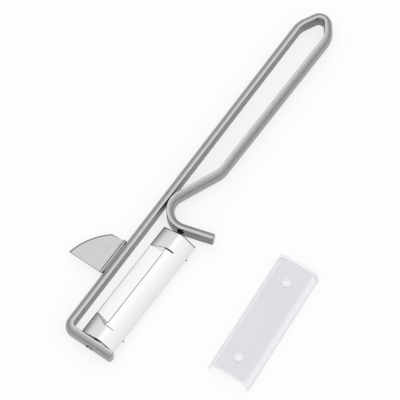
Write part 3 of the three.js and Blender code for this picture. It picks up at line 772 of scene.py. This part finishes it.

# %% [markdown]
# ## The pins
#
# Each pin is turned from steel rod: a shank that runs in the bar's hole, a thinner spigot through the ear,
# and an end that is riveted flat behind it. The free end is domed, so that it doesn't catch. The pin is
# painted nearly black, as painted shade in the gaps round it, and only its tip is bright from the lathe.
# A Screw modifier could spin the profile. The helper for turned shapes does the same and closes both ends.

# %% Turn the pins
PIN_RADIUS = 1.1
PIN_SPIGOT = 0.6
PIN_RIVET = 1.3
PIN_SEAT = 0.3
PIN_EASE = 0.1  # broken edges
PIN_BACK = 1.5  # from the face of the ear back to the riveted end
PIN_RIVET_THICK = 0.4
PIN_DOME = ((1.0, 0.35), (0.9, 0.15), (0.55, 0))  # share of the radius, and how far before the end
PIN_TIP = 0.05  # depth of the bright tip
# The shank is painted nearly black as painted shade in the gaps round the pin.
pin_shade = metal("steel_painted_shade", "Object", (2.0, 0.25, 2.0), ("#2C2C2E", "#3A3A3C"), (0.35, 0.45), 0.004)
pin_end = metal("turned_steel", "Object", (0.4, 0.4, 0.4), ("#D2D3D5", "#DADBDD"), (0.2, 0.28), 0.002)
ear_face = blade_end - EAR_SETBACK
for name, side in (("lower_pivot_pin", -1), ("upper_pivot_pin", 1)):
    low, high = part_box(name)
    length = (high - low).y / MM / pivot_axis.y
    start = ear_face - PIN_BACK
    end = start + length
    profile = [
        (PIN_RIVET - PIN_EASE, start),
        (PIN_RIVET, start + PIN_EASE),
        (PIN_RIVET, start + PIN_RIVET_THICK),
        (PIN_SPIGOT, start + PIN_RIVET_THICK),
        (PIN_SPIGOT, ear_face + PIN_SEAT),
        (PIN_RADIUS - PIN_EASE, ear_face + PIN_SEAT),
        (PIN_RADIUS, ear_face + PIN_SEAT + PIN_EASE),
    ] + [(share * PIN_RADIUS, end - before) for share, before in PIN_DOME]
    shape = bmesh.new()
    turned(shape, [(radius, side * y) for radius, y in profile])
    pin = finish_piece(name.replace("pivot_pin", "turned_pin"), shape, blade_place, sharp=30)
    pin.data.materials.append(pin_shade)
    pin.data.materials.append(pin_end)
    for face in pin.data.polygons:
        to_end = (face.center / MM - blade_place.translation).dot(pivot_axis) * side
        face.material_index = int(to_end > end - PIN_TIP)
    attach(pin, "blade")
    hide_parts(name)
    print(pin.name, "is", round(length, 2), "mm long")

# %% [markdown]
# ## The guard
#
# The guard is a channel of clear plastic, moulded in one shot. Its walls lean in a little so that the mould
# lets go, its web is slightly crowned, and two hollow bosses on the web are where the ejector pins pushed it
# out. A narrow border at each end is frosted by the mould. One end stands just off the card, because the
# moulding warps a little as it cools. Solidify would leave the rims square. A closed section, which is drawn
# in at both ends, gives them the round of a moulding.

# %% Sizes of the guard
GUARD_LENGTH = 59
GUARD_WALL = 0.9
GUARD_PLAY = 0.75  # clearance beside the blade
GUARD_DRAFT = 1.5  # how far each wall leans in
GUARD_SHOULDER = 2.4
GUARD_CROWN = 0.6
GUARD_BOSS = 2.0
GUARD_BOSS_WALL = 0.7
GUARD_BOSS_RISE = 0.6
GUARD_BOSS_PITCH = 39
GUARD_BOSS_SHIFT = 1.3
GUARD_TURN = 3.3  # degrees by which it lies askew
GUARD_WARP = 0.25  # degrees by which one end stands off the floor
GUARD_EDGE = 0.15  # round of the moulded edges
GUARD_NEAR_FROST = 0.4  # width of the frosted border at each end
GUARD_FAR_FROST = 1.5
GUARD_STEPS = 10
BOSS_STEPS = 48
guard_low, guard_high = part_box("blade_guard")
guard_middle = (guard_low + guard_high) / 2 / MM
guard_half = (GUIDE_WIDTH + HEEL_WIDTH) / 2 + GUARD_PLAY + GUARD_WALL
guard_web = guard_high.z / MM - GUARD_BOSS_RISE - GUARD_CROWN
guard_lift = GUARD_LENGTH / 2 * math.sin(math.radians(GUARD_WARP))
guard_place = (Matrix.Translation((guard_middle.x, guard_middle.y, guard_lift))
               @ Matrix.Rotation(math.radians(GUARD_TURN), 4, "Z")
               @ Matrix.Rotation(math.radians(GUARD_WARP), 4, "X"))
print("Guard width:", round(2 * guard_half, 2), "mm")


# %% Channel of the guard
def guard_skin(inset):
    """Right half of a skin of the channel, from the rim to near the middle of the web."""
    rim = guard_half - inset
    shoulder = GUARD_SHOULDER - inset
    web = guard_web - inset
    wall_top = Vector((rim - GUARD_DRAFT + shoulder / 4, web - shoulder))
    web_end = Vector((rim - GUARD_DRAFT - shoulder, web))
    round_over = bow(wall_top, Vector((rim - GUARD_DRAFT, web)), web_end, GUARD_STEPS)
    crown = bow(web_end, Vector((rim / 2, web + GUARD_CROWN)), Vector((0, web + GUARD_CROWN)), GUARD_STEPS)
    return [Vector((rim, 0))] + round_over + crown[1:-1]


def guard_ring(ease):
    """Closed section of the channel, drawn in by an ease at its moulded edges."""
    sides = []
    for half in (guard_skin(ease), guard_skin(GUARD_WALL - ease)):
        sides.append(half + [Vector((-p.x, p.y)) for p in reversed(half)])
    return sides[0] + list(reversed(sides[1]))


guard_end = GUARD_LENGTH / 2
even = guard_end - GUARD_EDGE
near, far = GUARD_NEAR_FROST - guard_end, guard_end - GUARD_FAR_FROST
places = [(GUARD_EDGE, -guard_end), (0, -even), (0, near), (0, far), (0, even), (GUARD_EDGE, guard_end)]
shape = bmesh.new()
grid, quads = skin(shape, [lay(guard_ring(ease), y) for ease, y in places], closed=True, capped=True)
for row in quads[:2] + quads[-2:]:
    for quad in row:
        quad.material_index = 1
guard = finish_piece("clear_guard", shape, guard_place, sharp=35)
print("Guard faces:", len(guard.data.polygons))

# %% Bosses of the guard
boss_foot = guard_web + GUARD_CROWN - GUARD_WALL / 4
boss_top = guard_web + GUARD_CROWN + GUARD_BOSS_RISE
boss_bore = GUARD_BOSS - GUARD_BOSS_WALL
boss_floor = guard_web + GUARD_CROWN + GUARD_EDGE
boss_profile = [
    (GUARD_BOSS, boss_foot),
    (GUARD_BOSS, boss_top - GUARD_EDGE),
    (GUARD_BOSS - GUARD_EDGE, boss_top),
    (boss_bore + GUARD_EDGE, boss_top),
    (boss_bore, boss_top - GUARD_EDGE),
    (boss_bore, boss_floor),
]
turns = [360 * i / BOSS_STEPS for i in range(BOSS_STEPS)]
shape = bmesh.new()
for side in (-1, 1):
    middle = Vector((0, side * GUARD_BOSS_PITCH / 2 - GUARD_BOSS_SHIFT))
    rows = []
    for radius, height in boss_profile:
        rows.append([Vector((*(middle + radius * heading(t)), height)) for t in turns])
    grid, quads = skin(shape, rows, closed=True)
    shape.faces.new(grid[-1])
bosses = finish_piece("guard_bosses", shape, guard_place, sharp=50)
print("Boss faces:", len(bosses.data.polygons))

# %% [markdown]
# Clear polystyrene lets most light through. The web is smooth and is painted a faint cool grey, as painted
# shade for the shaded card below it. The walls are textured in the mould so that they let go. They are
# painted whiter, as painted light for walls seen edge-on. The object's own normal tells walls from web, so
# the painted shade and light stay with the part in any position. Transmission could be used for plastic, but
# walls this thin hardly bend the light, and plain alpha gives less noise. The grit of the frosted ends is
# finer than a tenth of a millimetre. It is drawn coarser, so that it shows.

# %% Clear plastic
POLYSTYRENE_IOR = 1.59
WALL_LEVEL, WEB_LEVEL = 0.55, 0.95  # how level a face of the walls and of the web is
RIPPLE_LOW, RIPPLE_HIGH = 0.3, 0.7
plastic, tree, shader = new_material("clear_moulded_polystyrene")
facing = add_node(tree, "ShaderNodeTexCoord").outputs["Normal"]
upward = add_node(tree, "ShaderNodeSeparateXYZ", Vector=facing).outputs["Z"]
level = add_node(tree, "ShaderNodeMath", upward, operation="ABSOLUTE").outputs["Value"]
milky = add_node(tree, "ShaderNodeMapRange", level, WALL_LEVEL, WEB_LEVEL, 0.2, 0.28)
# Painted tones: whiter on the walls as painted light, cool grey on the web as painted shade.
tone = add_node(tree, "ShaderNodeValToRGB", Fac=level)
set_ramp(tone, ((WALL_LEVEL, "#EEEEFA"), (WEB_LEVEL, "#C4C5CE")))
ripple = grain(tree, "Object", (3.0, 5.0, 3.0))
haze = add_node(tree, "ShaderNodeMapRange", ripple, RIPPLE_LOW, RIPPLE_HIGH, 0.22, 0.34)
sunk_in = add_node(tree, "ShaderNodeBump", Strength=1.0, Distance=0.05 * MM, Height=ripple)
feed(shader, IOR=POLYSTYRENE_IOR, Base_Color=tone.outputs["Color"], Alpha=milky.outputs["Result"],
     Roughness=haze.outputs["Result"], Normal=sunk_in.outputs["Normal"])
print(plastic.name, "has", len(tree.nodes), "nodes")

# %% Frosted plastic, and the guard in the frame
frosted, tree, shader = new_material("frosted_polystyrene")
grit = grain(tree, "Object", (0.3, 0.3, 0.3))
haze = add_node(tree, "ShaderNodeMapRange", grit, RIPPLE_LOW, RIPPLE_HIGH, 0.4, 0.55)
feed(shader, IOR=POLYSTYRENE_IOR, Base_Color=srgb("#F6F6FA"), Alpha=0.8, Roughness=haze.outputs["Result"])
guard.data.materials.append(plastic)
guard.data.materials.append(frosted)
bosses.data.materials.append(frosted)
for piece in (guard, bosses):
    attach(piece, "guard")
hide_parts("blade_guard")
print("Guard finishes:", [material.name for material in guard.data.materials])

# %% [markdown]
# ## Studio
#
# The tool lies on white card under a wide soft light. Polished metal has no colour of its own to show, so the
# surroundings matter more than a lamp, whose outline would show in the blade. They are brightest overhead and
# turn grey towards the horizon, which tells the two flanks of the blade apart. The card adds plain white to
# what is lit, so that it looks like the paper of a catalogue and still keeps a soft shadow.

# %% Floor
FLOOR_HALF = 2  # metres
floor_mesh = bpy.data.meshes.new("floor")
shape = bmesh.new()
bmesh.ops.create_grid(shape, x_segments=1, y_segments=1, size=FLOOR_HALF)
shape.to_mesh(floor_mesh)
shape.free()
floor = bpy.data.objects.new("floor", floor_mesh)
scene.collection.objects.link(floor)
print("Floor:", 2 * FLOOR_HALF, "m wide")

# %% White card
CARD_SHINE = 0.75  # share of plain white, while the rest is the lit card, which keeps the shadow
card, tree, shader = new_material("white_card")
feed(shader, Base_Color=srgb("#F8F8F8"), Roughness=0.9, Specular_IOR_Level=0.2)
white = add_node(tree, "ShaderNodeEmission", Strength=1.0).outputs["Emission"]
rays = add_node(tree, "ShaderNodeLightPath").outputs
seen = add_node(tree, "ShaderNodeMath", rays["Is Camera Ray"], rays["Is Glossy Ray"], operation="ADD")
shown = add_node(tree, "ShaderNodeMath", seen.outputs["Value"], rays["Is Transmission Ray"], operation="ADD")
shown.use_clamp = True
share = add_node(tree, "ShaderNodeMath", shown.outputs["Value"], CARD_SHINE, operation="MULTIPLY")
backdrop = add_node(tree, "ShaderNodeMixShader", share.outputs["Value"], shader.outputs["BSDF"], white)
feed(tree.nodes["Material Output"], Surface=backdrop.outputs["Shader"])
floor_mesh.materials.append(card)
print(card.name, "has", len(tree.nodes), "nodes")

# %% Surroundings
SKY_LOW, SKY_HIGH = 0.25, 1.12  # strength at the horizon and overhead
SKY_FULL = 0.62  # height of the direction from which the sky is at its brightest
world = bpy.data.worlds.new("studio")
scene.world = world
world.use_nodes = True
tree = world.node_tree
direction = add_node(tree, "ShaderNodeTexCoord").outputs["Generated"]
upward = add_node(tree, "ShaderNodeSeparateXYZ", Vector=direction).outputs["Z"]
brightness = add_node(tree, "ShaderNodeMapRange", upward, 0, SKY_FULL, SKY_LOW, SKY_HIGH)
feed(tree.nodes["Background"], Color=(1, 1, 1, 1), Strength=brightness.outputs["Result"])
scene.view_settings.view_transform = "Standard"
print("Sky strength from", SKY_LOW, "to", SKY_HIGH)

# %% [markdown]
# ## Camera
#
# A long lens from high up keeps the outlines nearly parallel, as in a catalogue picture. An orthographic
# camera would make them quite parallel, but a little perspective looks more like a photograph.

# %% Camera
CAMERA_TARGET = Vector((-0.01796867, -0.01098026, 0))  # metres
CAMERA_DISTANCE = 0.873
CAMERA_AZIMUTH = 34.88486
CAMERA_ELEVATION = 66
azimuth, elevation = math.radians(CAMERA_AZIMUTH), math.radians(CAMERA_ELEVATION)
back = Vector((
    math.sin(azimuth) * math.cos(elevation),
    -math.cos(azimuth) * math.cos(elevation),
    math.sin(elevation),
))
camera = bpy.data.objects.new("camera", bpy.data.cameras.new("camera"))
scene.collection.objects.link(camera)
camera.data.lens = 180
camera.data.sensor_width = 36
camera.location = CAMERA_TARGET + back * CAMERA_DISTANCE
camera.rotation_mode = "QUATERNION"
camera.rotation_quaternion = (-back).to_track_quat("-Z", "Y")
scene.camera = camera
print("Camera at", [round(v, 3) for v in camera.location], "m")
